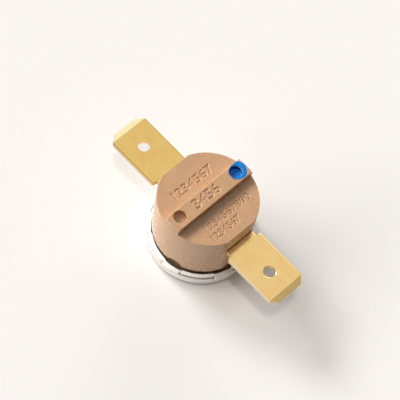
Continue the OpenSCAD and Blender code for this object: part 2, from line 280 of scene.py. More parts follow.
def turned(profile, steps=ROUND_STEPS):
    """Half section of (radius, height) points, spun once round the Z axis."""
    bm = bmesh.new()
    points = [bm.verts.new((r, 0, z)) for r, z in profile]
    lines = [bm.edges.new(pair) for pair in zip(points, points[1:])]
    bmesh.ops.spin(
        bm, geom=points + lines, cent=(0, 0, 0), axis=UP, dvec=(0, 0, 0), angle=math.tau, steps=steps, use_merge=True
    )
    return tidy(bm)


def arc(centre, radius, start, end, steps):
    """Points of a round corner in a half section, with the angles in degrees."""
    turns = [math.radians(start + (end - start) * i / steps) for i in range(steps + 1)]
    return [(centre[0] + radius * math.cos(a), centre[1] + radius * math.sin(a)) for a in turns]


def drawn_out(bm, way):
    """Closes a flat outline into a block that is drawn out along a vector."""
    made = bmesh.ops.extrude_face_region(bm, geom=bm.faces[:])
    far = [item for item in made["geom"] if isinstance(item, bmesh.types.BMVert)]
    bmesh.ops.translate(bm, verts=far, vec=way)
    bmesh.ops.recalc_face_normals(bm, faces=bm.faces)
    return bm


def disc(radius, low, high, steps=ROUND_STEPS):
    """Round block between two heights."""
    bm = bmesh.new()
    bmesh.ops.create_circle(bm, cap_ends=True, radius=radius, segments=steps)
    return moved(drawn_out(bm, UP * (high - low)), UP * low)


def sliced(bm, distance, axis):
    """Cuts both sides off a block at a distance from the middle and closes the cuts."""
    for side in (-1, 1):
        bmesh.ops.bisect_plane(
            bm, geom=all_of(bm), plane_co=axis * side * distance, plane_no=axis * side, clear_outer=True
        )
        rim = [e for e in bm.edges if e.is_boundary]
        bmesh.ops.edgenet_fill(bm, edges=rim)
    bmesh.ops.recalc_face_normals(bm, faces=bm.faces)
    return bm


def eased(bm, edges, width, segments=3):
    """Rounds some edges."""
    bmesh.ops.bevel(
        bm, geom=edges, affect="EDGES", offset_type="OFFSET", offset=width, segments=segments, profile=0.5,
        material=-1, clamp_overlap=True,
    )
    return bm


def edges_where(bm, test):
    """Edges whose two ends both pass a test."""
    return [e for e in bm.edges if all(test(v.co) for v in e.verts)]


def near(a, b):
    """Whether two lengths count as the same."""
    return abs(a - b) < SAME


def put(name, data):
    """New object in the scene that shows some data."""
    made = bpy.data.objects.new(name, data)
    bpy.context.scene.collection.objects.link(made)
    return made


def as_object(bm, name):
    """Object that holds a bmesh, which is freed."""
    mesh = bpy.data.meshes.new(name)
    bm.to_mesh(mesh)
    bm.free()
    return put(name, mesh)


def settle(piece):
    """Applies a piece's modifiers."""
    bpy.context.view_layer.update()
    graph = bpy.context.evaluated_depsgraph_get()
    mesh = bpy.data.meshes.new_from_object(piece.evaluated_get(graph), depsgraph=graph)
    piece.modifiers.clear()
    old, piece.data = piece.data, mesh
    mesh.name = piece.name
    bpy.data.meshes.remove(old)
    return piece


def combine(bm, tool, operation, crossing=False):
    """Adds a second solid to a first, cuts it out or keeps what both share, and gives the result as a bmesh."""
    shape, other = as_object(bm, "shape"), as_object(tool, "tool")
    change = shape.modifiers.new("combine", "BOOLEAN")
    change.operation = operation
    change.solver = "EXACT"
    change.use_self = crossing
    change.object = other
    settle(shape)
    result = bmesh.new()
    result.from_mesh(shape.data)
    for used in (shape, other):
        mesh = used.data
        bpy.data.objects.remove(used)
        bpy.data.meshes.remove(mesh)
    if not result.faces:
        raise RuntimeError(f"{operation} left nothing")
    return tidy(result)


def finished(piece, finish, body, replaced, smooth_to=32):
    """Smooths a piece up to an angle in degrees, gives it its finish and sets it in the frame."""
    piece.data.materials.clear()
    piece.data.materials.append(finish)
    piece.data.shade_smooth()
    piece.data.set_sharp_from_angle(angle=math.radians(smooth_to))
    flat = piece.modifiers.new("flat_faces", "WEIGHTED_NORMAL")
    flat.keep_sharp = True
    settle(piece)
    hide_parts(*replaced)
    if body:
        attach(piece, body)
    return piece


def ramp01(value, low, high):
    """Eased step from 0 at low to 1 at high."""
    share = min(1.0, max(0.0, (value - low) / (high - low)))
    return share * share * (3 - 2 * share)


# Material tools

def node(tree, kind, inputs=None, **attributes):
    """Adds a shader node, with its inputs linked or set."""
    made = tree.nodes.new(kind)
    for name, value in attributes.items():
        setattr(made, name, value)
    for name, value in (inputs or {}).items():
        if isinstance(value, bpy.types.NodeSocket):
            tree.links.new(value, made.inputs[name])
        else:
            made.inputs[name].default_value = value
    return made


def maths(tree, how, *values):
    """Result of a sum on numbers or sockets."""
    return node(tree, "ShaderNodeMath", dict(enumerate(values)), operation=how).outputs["Value"]


def product(tree, *shares):
    """Multiplies masks."""
    result = shares[0]
    for share in shares[1:]:
        result = maths(tree, "MULTIPLY", result, share)
    return result


def place(tree, stretch=EVEN):
    """Coordinates on the object, stretched along its axes."""
    where = node(tree, "ShaderNodeTexCoord").outputs["Object"]
    return node(tree, "ShaderNodeMapping", {"Vector": where, "Scale": stretch}).outputs["Vector"]


def measures(tree):
    """X, Y, Z and the distance from the Z axis, on the object."""
    where = node(tree, "ShaderNodeTexCoord").outputs["Object"]
    split = node(tree, "ShaderNodeSeparateXYZ", {"Vector": where})
    flat = node(tree, "ShaderNodeVectorMath", {0: where, 1: (1, 1, 0)}, operation="MULTIPLY").outputs["Vector"]
    radius = node(tree, "ShaderNodeVectorMath", {0: flat}, operation="LENGTH").outputs["Value"]
    return *split.outputs, radius


def round_place(tree, along):
    """Coordinates for lines that run round the Z axis: the radius, a small share of X, and the height."""
    x, _, z, radius = measures(tree)
    inputs = {"X": radius, "Y": maths(tree, "MULTIPLY", x, along), "Z": z}
    return node(tree, "ShaderNodeCombineXYZ", inputs).outputs["Vector"]


def grain(tree, per_mm, detail, roughness=0.6, stretch=EVEN, where=None):
    """Noise with that many lumps in a millimetre."""
    if where is None:
        where = place(tree, stretch)
    inputs = {"Vector": where, "Scale": per_mm / MM, "Detail": detail, "Roughness": roughness}
    return node(tree, "ShaderNodeTexNoise", inputs).outputs["Fac"]


def band(tree, value, low, high, to_low=0.0, to_high=1.0):
    """Stretches part of a value's range to another range."""
    inputs = {"Value": value, "From Min": low, "From Max": high, "To Min": to_low, "To Max": to_high}
    return node(tree, "ShaderNodeMapRange", inputs, clamp=True).outputs["Result"]


def blended(tree, share, first, second, how="MIX"):
    """Mixes two colours, each a socket or three numbers."""
    inputs = {MIX_SHARE: share}
    for index, value in ((MIX_FIRST, first), (MIX_SECOND, second)):
        inputs[index] = value if isinstance(value, bpy.types.NodeSocket) else (*value, 1)
    return node(tree, "ShaderNodeMix", inputs, data_type="RGBA", blend_type=how).outputs[MIX_COLOUR]


def layered(tree, base, *layers):
    """Lays colours over a base. Each layer is a mask and a colour, and may say how they mix."""
    for mask, colour, *how in layers:
        base = blended(tree, mask, base, colour, *how)
    return base


def shade(colour, by):
    """The same colour, lighter or darker."""
    return tuple(min(1.0, part * by) for part in colour)


def both(tree, share, first, second):
    """Mixes two shaders."""
    return node(tree, "ShaderNodeMixShader", {0: share, 1: first, 2: second}).outputs[0]


def new_finish(name, constants):
    """Material with a plain shader, some of whose sockets are set."""
    material = bpy.data.materials.new(name)
    material.use_nodes = True
    shader = material.node_tree.nodes["Principled BSDF"]
    for socket, value in constants.items():
        shader.inputs[socket].default_value = value
    return material, material.node_tree, shader


def dress(tree, shader, base, roughness, height, depth_mm, strength):
    """Links a shader's colour and roughness, and bumps it by a height field of that depth."""
    bump = node(tree, "ShaderNodeBump", {"Height": height, "Distance": depth_mm * MM, "Strength": strength})
    wanted = {"Base Color": base, "Roughness": roughness, "Normal": bump.outputs["Normal"]}
    for socket, value in wanted.items():
        tree.links.new(value, shader.inputs[socket])


# Finishes

def phenolic_finish(colour):
    """Filled phenolic moulding: mottled tan with fine dark and pale grains, a dull skin and painted shade in the
    groove under the drum.
    """
    material, tree, shader = new_finish("tan_phenolic", {"IOR": 1.62})
    cloud = grain(tree, per_mm=0.5, detail=3)
    speck = grain(tree, per_mm=7, detail=5, roughness=0.75)
    fine = grain(tree, per_mm=28, detail=3, roughness=0.7)
    pale, dark, neck_shade = shade(colour, 1.22), shade(colour, 0.7), shade(colour, 0.3)
    base = layered(
        tree, shade(colour, 0.95),
        (band(tree, cloud, 0.3, 0.7), shade(colour, 1.05)),
        (band(tree, speck, 0.56, 0.74, to_high=0.24), pale),
        (band(tree, speck, 0.44, 0.28, to_high=0.25), dark),
        # Painted shade: the groove under the drum is darkened, where shade falls.
        (neck_shade_mask(tree), neck_shade),
    )
    dress(tree, shader, base, band(tree, cloud, 0.3, 0.7, 0.24, 0.3), fine, depth_mm=0.004, strength=0.14)
    return material


def neck_shade_mask(tree):
    """Where painted shade lies on the moulding, in the shaded groove between the drum and the rim."""
    s = settings().housing
    _, _, z, radius = measures(tree)
    under = band(tree, radius, s.drum_r - 0.05 * MM, s.drum_r - 0.15 * MM)
    outside = band(tree, radius, s.chamber_r + 0.9 * MM, s.chamber_r + 1.1 * MM)
    low = band(tree, z, s.drum_low + 0.05 * MM, s.drum_low + 0.01 * MM)
    return product(tree, under, outside, low)


def brass_finish(colour):
    """Rolled brass strip: fine lines along X, warm mottling, light scuffs and dull stains, with painted highlights on
    the left tip and the right front edge and painted shade on the left rolled edges.
    """
    material, tree, shader = new_finish("rolled_brass", {"Metallic": 1.0})
    lines = grain(tree, per_mm=9, detail=6, roughness=0.7, stretch=ALONG_X)
    cloud = grain(tree, per_mm=0.55, detail=4, roughness=0.62)
    stain = grain(tree, per_mm=1.5, detail=6, roughness=0.7, stretch=(0.7, 1, 1))
    scuff = grain(tree, per_mm=4.5, detail=4, roughness=0.7, stretch=(0.6, 1, 1))
    x, y, z, _ = measures(tree)
    half, top, tip_x = BLADE_HIGH.y, BLADE_HIGH.z, -BLADE_HIGH.x
    left, right = band(tree, x, 1 * MM, -1 * MM), band(tree, x, -1 * MM, 1 * MM)
    upper = band(tree, z, top - 0.14 * MM, top - 0.1 * MM)
    rolled_edge_shade = band(tree, maths(tree, "ABSOLUTE", y), half - 0.14 * MM, half - 0.06 * MM, to_high=0.85)
    front_edge = band(tree, y, 0.05 * MM - half, 0.02 * MM - half, to_high=0.8)
    left_tip = band(tree, x, tip_x + 0.97 * MM, tip_x + 0.93 * MM)
    warm = (colour[0], colour[1] * 0.86, colour[2] * 0.8)
    greenish, painted_tip_highlight, painted_edge_highlight = (0.92, 0.9, 0.72), (0.93, 0.8, 0.46), (0.95, 0.82, 0.6)
    base = layered(
        tree, colour,
        (band(tree, cloud, 0.4, 0.66, to_high=0.8), warm),
        (band(tree, scuff, 0.38, 0.66, to_high=0.5), shade(colour, 0.86)),
        (band(tree, stain, 0.57, 0.75, to_high=0.35), shade(colour, 0.72)),
        (band(tree, lines, 0.35, 0.65, to_high=0.14), shade(colour, 0.8)),
        (left, greenish, "MULTIPLY"),
        # Painted highlight: the left blade's tip bevel is whitened where it catches the light.
        (left_tip, painted_tip_highlight),
        # Painted shade along the left blade's rolled upper edges.
        (product(tree, left, upper, rolled_edge_shade), shade(colour, 0.35)),
        # Painted highlight along the right blade's front edge.
        (product(tree, right, front_edge), painted_edge_highlight),
    )
    dress(tree, shader, base, band(tree, stain, 0.35, 0.7, 0.13, 0.22), lines, depth_mm=0.004, strength=0.35)
    return material


def aluminium_finish(colour):
    """Drawn aluminium: satin, with faint lines round the axis, a duller lip, painted contact shade along the lower
    edge and painted shade in the stake grooves.
    """
    material, tree, shader = new_finish("drawn_aluminium", {"Metallic": 0.8})
    lines = grain(tree, per_mm=14, detail=5, roughness=0.7, where=round_place(tree, 0.02))
    cloud = grain(tree, per_mm=0.8, detail=4)
    _, _, z, _ = measures(tree)
    on_lip = band(tree, z, CUP_HIGH.z - 0.5 * MM, CUP_HIGH.z - 0.25 * MM)
    contact_shade = band(tree, z, 1.0 * MM, 0.65 * MM, to_high=0.8)
    base = layered(
        tree, colour,
        (band(tree, cloud, 0.35, 0.7), shade(colour, 0.92)),
        (band(tree, lines, 0.35, 0.7, to_high=0.18), shade(colour, 0.8)),
        # Painted shade: the lower corner is darkened where it meets the floor.
        (contact_shade, shade(colour, 0.3)),
        (on_lip, shade(colour, 0.79)),
        # Painted shade in the stake grooves.
        (stake_groove_shade(tree), shade(colour, 0.36)),
    )
    dress(tree, shader, base, band(tree, on_lip, 0.0, 1.0, 0.38, 0.52), lines, depth_mm=0.004, strength=0.4)
    return material


def stake_groove_shade(tree):
    """Where painted shade lies in the staking tool's grooves, which lie lower than the lip. There is less at -X, where
    the lamps light them.
    """
    c = settings().cup
    x, _, z, radius = measures(tree)
    unpressed = CUP_HIGH.z - 0.165 * MM
    underside = CUP_HIGH.z - c.lip_t
    inside = band(tree, radius, c.groove_r - c.groove_w, c.groove_r - c.groove_w * 0.8)
    outside = band(tree, radius, c.groove_r + 0.09 * MM, c.groove_r + 0.05 * MM)
    deep = band(tree, z, unpressed - 0.09 * MM, unpressed - 0.15 * MM)
    above = band(tree, z, underside - 0.1 * MM, underside - 0.06 * MM)
    # Less painted shade at -X, towards the lamps.
    share = band(tree, x, -1 * MM, 3 * MM, 0.35, 1.0)
    return product(tree, inside, outside, deep, above, share)


def paint_finish(colour, lit_pool_colour):
    """Marking paint: deep blue with a wet gloss and a slightly uneven skin, painted shade on the recess's wall and
    painted light on its floor.
    """
    material, tree, shader = new_finish("blue_paint", {"IOR": 1.35})
    wanted = settings()
    rim = HOUSING_HIGH.z
    pool = rim - wanted.housing.recess_deep + wanted.paint.floor
    cloud = grain(tree, per_mm=1.3, detail=3)
    _, _, z, _ = measures(tree)
    below_rim = band(tree, z, rim - 0.02 * MM, rim - 0.25 * MM)
    above_pool = band(tree, z, pool + 0.02 * MM, pool + 0.12 * MM)
    base = layered(
        tree, colour,
        (band(tree, cloud, 0.35, 0.65), (colour[0], colour[1] * 1.35, colour[2] * 1.08)),
        # Painted shade on the recess's wall, between the rim and the pool.
        (product(tree, below_rim, above_pool), shade(colour, 0.35)),
        # Painted light: a brighter blue on the recess's floor.
        (band(tree, z, pool + 0.1 * MM, pool + 0.02 * MM), lit_pool_colour),
    )
    dress(tree, shader, base, band(tree, cloud, 0.3, 0.7, 0.12, 0.24), cloud, depth_mm=0.03, strength=0.5)
    return material


def rolled_finish(name, colour, roughness, stretch):
    """Rolled strip or turned metal, with fine lines."""
    material, tree, shader = new_finish(name, {"Metallic": 1.0})
    lines = grain(tree, per_mm=10, detail=5, roughness=0.7, stretch=stretch)
    cloud = grain(tree, per_mm=1.2, detail=3)
    base = layered(
        tree, colour,
        (band(tree, cloud, 0.35, 0.7), shade(colour, 0.86)),
        (band(tree, lines, 0.4, 0.7, to_high=0.25), shade(colour, 0.7)),
    )
    dull = band(tree, cloud, 0.3, 0.7, roughness, roughness + 0.14)
    dress(tree, shader, base, dull, lines, depth_mm=0.004, strength=0.4)
    return material


def ceramic_finish(colour):
    """Unglazed ceramic: chalky, with fine pores."""
    material, tree, shader = new_finish("unglazed_ceramic", {"IOR": 1.5})
    pores = grain(tree, per_mm=16, detail=5, roughness=0.7)
    cloud = grain(tree, per_mm=0.9, detail=3)
    base = layered(
        tree, colour,
        (band(tree, cloud, 0.3, 0.7), shade(colour, 0.93)),
        (band(tree, pores, 0.6, 0.75, to_high=0.5), shade(colour, 0.7)),
    )
    dress(tree, shader, base, band(tree, pores, 0.3, 0.7, 0.62, 0.78), pores, depth_mm=0.008, strength=0.5)
    return material


def floor_finish(colour):
    """Plain pale table, hardly uneven, part of whose white is its own glow where it is seen, which lifts its shadows.
    The glow is weaker beside the part, which keeps the shade there darker.
    """
    material, tree, shader = new_finish("pale_floor", {"IOR": 1.3, "Roughness": 0.7})
    cloud = grain(tree, per_mm=0.01, detail=2)
    base = blended(tree, band(tree, cloud, 0.3, 0.7), colour, shade(colour, 0.992))
    tree.links.new(base, shader.inputs["Base Color"])
    rays = node(tree, "ShaderNodeLightPath")
    seen = maths(tree, "MAXIMUM", rays.outputs["Is Camera Ray"], rays.outputs["Is Glossy Ray"])
    far = node(tree, "ShaderNodeVectorMath", {0: place(tree)}, operation="LENGTH").outputs["Value"]
    white = settings().stage.own_white
    share = product(tree, seen, band(tree, far, 9 * MM, 14 * MM, white * 0.45, white))
    glow = node(tree, "ShaderNodeEmission", {"Color": (*colour, 1), "Strength": 1.0})
    mixed = both(tree, share, shader.outputs[0], glow.outputs[0])
    tree.links.new(mixed, tree.nodes["Material Output"].inputs["Surface"])
    return material


# Housing

def drum_block(s):
    """Drum with its two flats and an eased top edge."""
    bm = disc(s.drum_r, s.drum_low, s.drum_high)
    sliced(bm, s.flat_x, Vector((1, 0, 0)))
    return eased(bm, edges_where(bm, lambda p: near(p.z, s.drum_high)), s.edge)


def rib_block(s):
    """Rib across the top, whose rounded ends are flush with the drum."""
    low, top, half = s.drum_high - s.edge, HOUSING_HIGH.z, s.rib_w / 2
    section = [
        (half, low), *arc((half - s.edge, top - s.edge), s.edge, 0, 90, 4),
        *arc((s.worn_edge - half, top - s.worn_edge), s.worn_edge, 90, 180, 6), (-half, low),
    ]
    bar = bmesh.new()
    bar.faces.new([bar.verts.new((x, -s.drum_r - PAST, z)) for x, z in section])
    drawn_out(bar, (0, 2 * s.drum_r + 2 * PAST, 0))
    ends = disc(s.drum_r, low - PAST, top)
    eased(ends, edges_where(ends, lambda p: near(p.z, top)), s.rib_end, 5)
    return combine(bar, ends, "INTERSECT")


def neck_block(s):
    """Foot that the rim holds and neck that carries the drum."""
    r, low = HOUSING_HIGH.x, HOUSING_LOW.z
    inside = s.drum_low + PAST
    return turned([(0, low), (r, low), (r, s.foot_high), (s.neck_r, s.foot_high), (s.neck_r, inside), (0, inside)])


def hollow_block(s):
    """Contact chamber with the steps that seat the guide plate and clear the disc."""
    disc_gap, plate_rim = 0.1 * MM, 0.9 * MM
    plate_r, disc_r = PLATE_HIGH.x + s.play, DISC_HIGH.x + disc_gap
    plate_top, roof = PLATE_LOW.z + plate_rim, s.drum_high - s.roof
    below = HOUSING_LOW.z - PAST
    return turned([
        (0, below), (disc_r, below), (disc_r, PLATE_LOW.z), (plate_r, PLATE_LOW.z), (plate_r, plate_top),
        (s.chamber_r, plate_top), (s.chamber_r, roof), (0, roof),
    ])


def recess_block(s, side):
    """Round recess at one end of the rib."""
    bm = disc(s.recess_r, HOUSING_HIGH.z - s.recess_deep, HOUSING_HIGH.z + PAST, 96)
    return moved(bm, (s.recess_x, side * s.recess_y, 0))


def slot_block(s, side):
    """Slot that a blade's neck leaves through."""
    neck_w, through = 4.9 * MM, 4 * MM
    low, high = BLADE_LOW.z - s.play, BLADE_HIGH.z + s.slot_gap
    bm = bmesh.new()
    bmesh.ops.create_cube(bm, size=1)
    bmesh.ops.scale(bm, verts=bm.verts, vec=(through, neck_w + 2 * s.play, high - low))
    return moved(bm, (side * s.flat_x, 0, (low + high) / 2))


def notch_block(s):
    """Round keying notch in the drum's lower edge."""
    bm = bmesh.new()
    bmesh.ops.create_circle(bm, cap_ends=True, radius=s.notch_w / 2, segments=64)
    moved(bm, (0, s.notch_h - s.notch_w / 2, 0))
    bmesh.ops.bisect_plane(bm, geom=all_of(bm), plane_co=(0, -s.play, 0), plane_no=(0, -1, 0), clear_outer=True)
    drawn_out(bm, UP * (s.notch_deep + PAST))
    stand = Matrix.Rotation(math.pi / 2, 4, "Z") @ Matrix.Rotation(math.pi / 2, 4, "X")
    out = Matrix.Translation((s.drum_r - s.notch_deep, 0, s.drum_low))
    bmesh.ops.transform(bm, matrix=Matrix.Rotation(s.notch_turn, 4, "Z") @ out @ stand, verts=bm.verts)
    return bm


def on_mouth(point, s, side):
    """Whether a point lies on the mouth of the recess at that side."""
    off = math.hypot(point.x - s.recess_x, point.y - side * s.recess_y)
    return near(point.z, HOUSING_HIGH.z) and near(off, s.recess_r)


def housing_shape(s):
    """The whole moulding, without its numerals."""
    bm = combine(drum_block(s), neck_block(s), "UNION")
    bm = combine(bm, rib_block(s), "UNION")
    for side in (-1, 1):
        bm = combine(bm, recess_block(s, side), "DIFFERENCE")
        bm = combine(bm, slot_block(s, side), "DIFFERENCE")
    bm = combine(bm, notch_block(s), "DIFFERENCE")
    bm = combine(bm, hollow_block(s), "DIFFERENCE")
    for side, width in ((-1, s.mouth), (1, s.edge / 2)):
        eased(bm, edges_where(bm, lambda p: on_mouth(p, s, side)), width)
    return bm


def add_numeral_row(cutter, words, height, across, along, surface, n):
    """Adds to a cutter one row of sunk numerals, read towards +Y."""
    digit_share = 0.73  # A digit's height as a share of the size of its font
    curve = bpy.data.curves.new("numerals", "FONT")
    curve.body = words
    curve.size = height / digit_share
    curve.resolution_u = 3
    curve.bevel_depth = n.sunk * height
    curve.bevel_resolution = 0
    curve.offset = (n.bolder - 1) * n.sunk * height
    row = put("numerals", curve)
    bpy.context.view_layer.update()
    mesh = bpy.data.meshes.new_from_object(row.evaluated_get(bpy.context.evaluated_depsgraph_get()))
    bpy.data.objects.remove(row)
    bpy.data.curves.remove(curve)
    xs, ys, zs = zip(*(v.co for v in mesh.vertices))
    middle = Vector(((min(xs) + max(xs)) / 2, (min(ys) + max(ys)) / 2, (min(zs) + max(zs)) / 2))
    stretch = (along[1] - along[0]) / (max(xs) - min(xs))
    centre = Vector((across, (along[0] + along[1]) / 2, surface))
    turn = Matrix.Rotation(math.pi / 2, 4, "Z") @ Matrix.Diagonal((stretch, 1, 1, 1))
    mesh.transform(Matrix.Translation(centre) @ turn @ Matrix.Translation(-middle))
    cutter.from_mesh(mesh)
    bpy.data.meshes.remove(mesh)


def with_numerals(bm, s, n):
    """Sinks the rows of numerals into the moulding's top."""
    cutter = bmesh.new()
    words = {"left": n.left, "rib": n.rib, "right": n.right, "outer": n.outer}
    for name, height, across, along in NUMERAL_ROWS:
        surface = HOUSING_HIGH.z if name == "rib" else s.drum_high
        reach = [end * MM for end in along]
        add_numeral_row(cutter, words[name], height * MM, across * MM, reach, surface, n)
    bm = combine(bm, tidy(cutter), "DIFFERENCE", crossing=True)
    bmesh.ops.holes_fill(bm, edges=[e for e in bm.edges if e.is_boundary], sides=8)
    return bm


class LIMITER_OT_add_housing(bpy.types.Operator):
    """Moulded housing with its rib, recesses, notch and sunk numerals"""
    bl_idname = "limiter.add_housing"
    bl_label = "Add housing"

    def execute(self, context):
        wanted = settings()
        shape = with_numerals(housing_shape(wanted.housing), wanted.housing, wanted.numerals)
        finish = phenolic_finish(wanted.colours.phenolic)
        finished(as_object(shape, "housing_shell"), finish, HOUSING, ["body_housing"])
        return {"FINISHED"}


# Cup

def cup_profile(c):
    """Half section of the cup before staking, from the middle of its bottom to the middle of its floor."""
    in_box = 0.0005 * MM  # Keeps the many-sided wall inside the CAD box
    lip_edge = 0.09 * MM
    wall_steps, flat_steps = 6, 12
    r, top, seat = CUP_HIGH.y - in_box, CUP_HIGH.z, HOUSING_LOW.z
    foot, inner = top - c.lip_t, r - c.wall
    flat_end = r - c.shoulder + c.shoulder * math.sin(c.tilt)
    width = flat_end - c.lip_r - lip_edge
    fall = width * math.tan(c.tilt)
    centre = top - fall - c.shoulder * math.cos(c.tilt)
    wall = [(r, c.corner + (centre - c.corner) * i / wall_steps) for i in range(1, wall_steps)]
    flat = [(flat_end - width * i / flat_steps, top - fall * (1 - i / flat_steps)) for i in range(1, flat_steps)]
    return [
        (0, 0), *arc((r - c.corner, c.corner), c.corner, -90, 0, 10), *wall,
        *arc((r - c.shoulder, centre), c.shoulder, 0, 90 - math.degrees(c.tilt), 20), *flat,
        *arc((c.lip_r + lip_edge, top - lip_edge), lip_edge, 90, 180, 4),
        (c.lip_r, foot), (inner, foot), (inner, seat),
        (inner - c.seat_w, seat), (inner - c.seat_w, c.wall), (0, c.wall),
    ]


def stake(point, c):
    """Where a point of the rim goes when the staking tool has pressed it."""
    fade = 0.16 * MM  # Half the length over which a stake runs out at its ends
    foot, skin = CUP_HIGH.z - c.lip_t + 0.01 * MM, CUP_HIGH.z - 0.28 * MM
    dimple_flat = 0.35
    radius, turn = math.hypot(point.x, point.y), math.atan2(point.y, point.x)
    pitch = math.tau / c.stakes
    off = (turn - c.stake_turn + pitch / 2) % pitch - pitch / 2
    edge = (abs(off) - c.stake_span / 2) * radius
    pressed = 1 - ramp01(edge, -fade, fade)
    lean = 1 - ramp01(radius, c.lip_r, c.groove_r - c.groove_w / 2)
    on_top = ramp01(point.z, foot, skin)
    groove = pressed * math.exp(-(((radius - c.groove_r) / c.groove_w * 2) ** 2)) * c.groove_deep
    far = math.hypot(radius - c.groove_r, edge) / (c.dimple_w / 2)
    dimple = (1 - ramp01(far, dimple_flat, 1.0)) * c.dimple_deep
    down = on_top * (max(groove, dimple) + pressed * lean * c.stake_down)
    shrink = (radius - pressed * lean * c.stake_in) / radius
    return Vector((point.x * shrink, point.y * shrink, point.z - down))


class LIMITER_OT_add_cup(bpy.types.Operator):
    """Drawn cup whose rim is folded over the housing's foot and staked"""
    bl_idname = "limiter.add_cup"
    bl_label = "Add cup"

    def execute(self, context):
        wanted = settings()
        c = wanted.cup
        bm = turned(cup_profile(c), CUP_STEPS)
        lip_low, wall_r = CUP_HIGH.z - c.lip_t - 0.01 * MM, CUP_HIGH.x - 0.001 * MM
        for v in bm.verts:
            if v.co.z > lip_low and math.hypot(v.co.x, v.co.y) < wall_r:
                v.co = stake(v.co, c)
        finish = aluminium_finish(wanted.colours.aluminium)
        finished(as_object(bm, "staked_cup"), finish, HOUSING, ["heat_cup"])
        return {"FINISHED"}


# Blades

def copy_of(name):
    """Merged copy of a CAD node's mesh, with its flat faces made whole."""
    bm = bmesh.new()
    bm.from_mesh(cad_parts[name].data)
    bmesh.ops.remove_doubles(bm, verts=bm.verts, dist=MERGED_CAD)
    bmesh.ops.dissolve_limit(bm, angle_limit=math.radians(0.5), verts=bm.verts, edges=bm.edges)
    return bm


def on_long_edge(point):
    """Whether a point lies on one of a blade's long upper edges."""
    return near(point.z, BLADE_HIGH.z) and near(abs(point.y), BLADE_HIGH.y)


class LIMITER_OT_add_blades(bpy.types.Operator):
    """Stamped brass blades with eased edges"""
    bl_idname = "limiter.add_blades"
    bl_label = "Add blades"

    def execute(self, context):
        wanted = settings()
        finish = brass_finish(wanted.colours.brass)
        for name, node_name in (("blade_left", "terminal_left"), ("blade_right", "terminal_right")):
            bm = copy_of(node_name)
            sharp = [e for e in bm.edges if len(e.link_faces) == 2 and e.calc_face_angle() > math.radians(30)]
            if name == "blade_left":
                rolled = [e for e in sharp if all(on_long_edge(v.co) for v in e.verts)]
                sharp = [e for e in sharp if not any(v in other.verts for other in rolled for v in e.verts)]
                eased(bm, rolled, wanted.blades.roll, 4)
            sharp = [e for e in sharp if e.is_valid]
            eased(bm, sharp, wanted.blades.edge, 2)
            finished(as_object(bm, name), finish, HOUSING, [node_name], smooth_to=12)
        return {"FINISHED"}


# Paint

# A point of the coat's section whose radius is SPREAD or more lies past the recess's mouth.
# What its radius has over SPREAD is then its share of the way from the mouth to the coat's edge.
SPREAD = 1


def coat_section(s, p):
    """Half section of the coat, round the recess's axis and with heights from the rib's surface."""
    deep, inner = s.recess_deep, s.recess_r - p.coat
    pool, fillet, rings, wall_steps = -deep + p.floor, 0.15 * MM, 14, 6
    lining = [
        (0, pool), (0.4 * inner, pool), *arc((inner - fillet, pool + fillet), fillet, -90, 0, 6),
        *[(inner, pool + (-p.coat * 1.5 - pool) * i / wall_steps) for i in range(2, wall_steps + 1)],
    ]
    over = [(SPREAD + i / rings, p.coat * math.sqrt(max(0.0, 1 - (i / rings) ** 4))) for i in range(rings + 1)]
    under = [(SPREAD + i / rings, -p.sink) for i in range(rings, -1, -1)]
    back = [(s.recess_r + p.sink, -p.sink * 2), (s.recess_r + p.sink, -deep - p.sink), (0, -deep - p.sink)]
    return lining + over + under + back


def coat_reach(turn, p):
    """How far the coat reaches from the recess's axis in one direction."""
    def hill(middle, width):
        """Share that is 1 in one direction, in degrees, and falls off on both sides of it."""
        off = (math.degrees(turn) - middle + 180) % 360 - 180
        return math.exp(-((off / width) ** 4))

    towards_end, dripped = hill(90, 78), hill(-25, 50) + hill(112, 40)
    ripple = noise.noise(Vector((math.cos(turn), math.sin(turn), 0.3)) * 2.2) * 0.05 * MM
    return p.reach + p.spill * towards_end + p.drip * dripped + ripple


def rib_surface(x, y, s):
    """Height of the rib's upper surface over a place, with its rounded ends and edges."""
    drop = 0.0
    past_end = math.hypot(x, y) - (s.drum_r - s.rib_end)
    if past_end > 0:
        drop = s.rib_end - math.sqrt(max(0.0, s.rib_end ** 2 - past_end ** 2))
    edge = s.worn_edge if x < 0 else s.edge
    past_side = abs(x) - (s.rib_w / 2 - edge)
    if past_side > 0:
        drop = max(drop, edge - math.sqrt(max(0.0, edge ** 2 - past_side ** 2)))
    return HOUSING_HIGH.z - drop


def coat_point(point, s, p):
    """Where a point of the spun section goes on the rib."""
    radius, turn = math.hypot(point.x, point.y), math.atan2(point.y, point.x)
    if radius < SPREAD / 2:
        return Vector((s.recess_x + point.x, s.recess_y + point.y, HOUSING_HIGH.z + point.z))
    mouth, end = s.recess_r + 0.06 * MM, s.drum_r - 0.06 * MM
    radius = mouth + (radius - SPREAD) * (coat_reach(turn, p) - mouth)
    x, y = s.recess_x + radius * math.cos(turn), s.recess_y + radius * math.sin(turn)
    x = max(-p.edge_x, min(p.edge_x, x))
    y = min(y, math.sqrt(end ** 2 - x * x))
    return Vector((x, y, rib_surface(x, y, s) + point.z))


class LIMITER_OT_add_paint(bpy.types.Operator):
    """Coat of blue paint that lines one recess and runs over the rib's end"""
    bl_idname = "limiter.add_paint"
    bl_label = "Add paint"

    def execute(self, context):
        wanted = settings()
        s, p = wanted.housing, wanted.paint
        bm = turned(coat_section(s, p), 144)
        for v in bm.verts:
            v.co = coat_point(v.co, s, p)
        tidy(bm)
        finish = paint_finish(wanted.colours.paint, wanted.colours.pool)
        finished(as_object(bm, "paint_coat"), finish, HOUSING, ["blue_mark"])
        return {"FINISHED"}


# Switch

